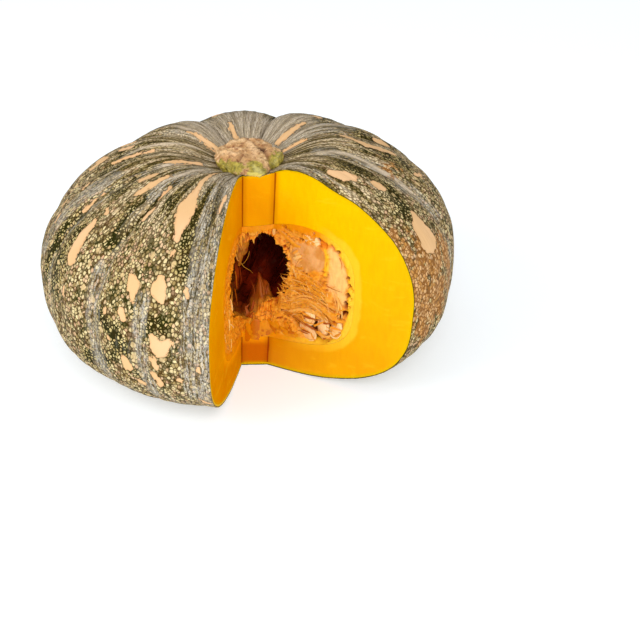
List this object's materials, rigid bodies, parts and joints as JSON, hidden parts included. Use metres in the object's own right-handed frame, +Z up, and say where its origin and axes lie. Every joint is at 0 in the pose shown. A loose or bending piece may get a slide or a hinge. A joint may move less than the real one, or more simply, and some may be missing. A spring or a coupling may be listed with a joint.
{
  "type": "kabocha squash",
  "caption": "Ribbed kabocha squash with a wedge cut out of its front, showing flesh, stringy pulp and seeds. It stands on its own base.",
  "frame": {"origin": "the middle of the space the squash takes up, at the surface it rests on", "axes": "+Z up along the growth axis to the stem, -Y toward the cut wedge, +X to its right"},
  "size_m": [0.2466, 0.2418, 0.127],
  "materials": {
    "rind": "waxy green rind with pale net and buff patches",
    "flesh": "moist freshly cut flesh",
    "stem": "dry and corky",
    "pulp": "moist and stringy",
    "seed": "smooth with a wet gloss"
  },
  "bodies": {
    "root": {"rind": "rind", "flesh": "flesh", "stem": "stem", "pulp": "pulp", "seed_01": "seed", "seed_02": "seed", "seed_03": "seed", "seed_04": "seed", "seed_05": "seed", "seed_06": "seed", "seed_07": "seed", "seed_08": "seed", "seed_09": "seed", "seed_10": "seed", "seed_11": "seed", "seed_12": "seed", "seed_13": "seed", "seed_14": "seed"}
  },
  "joints": []
}
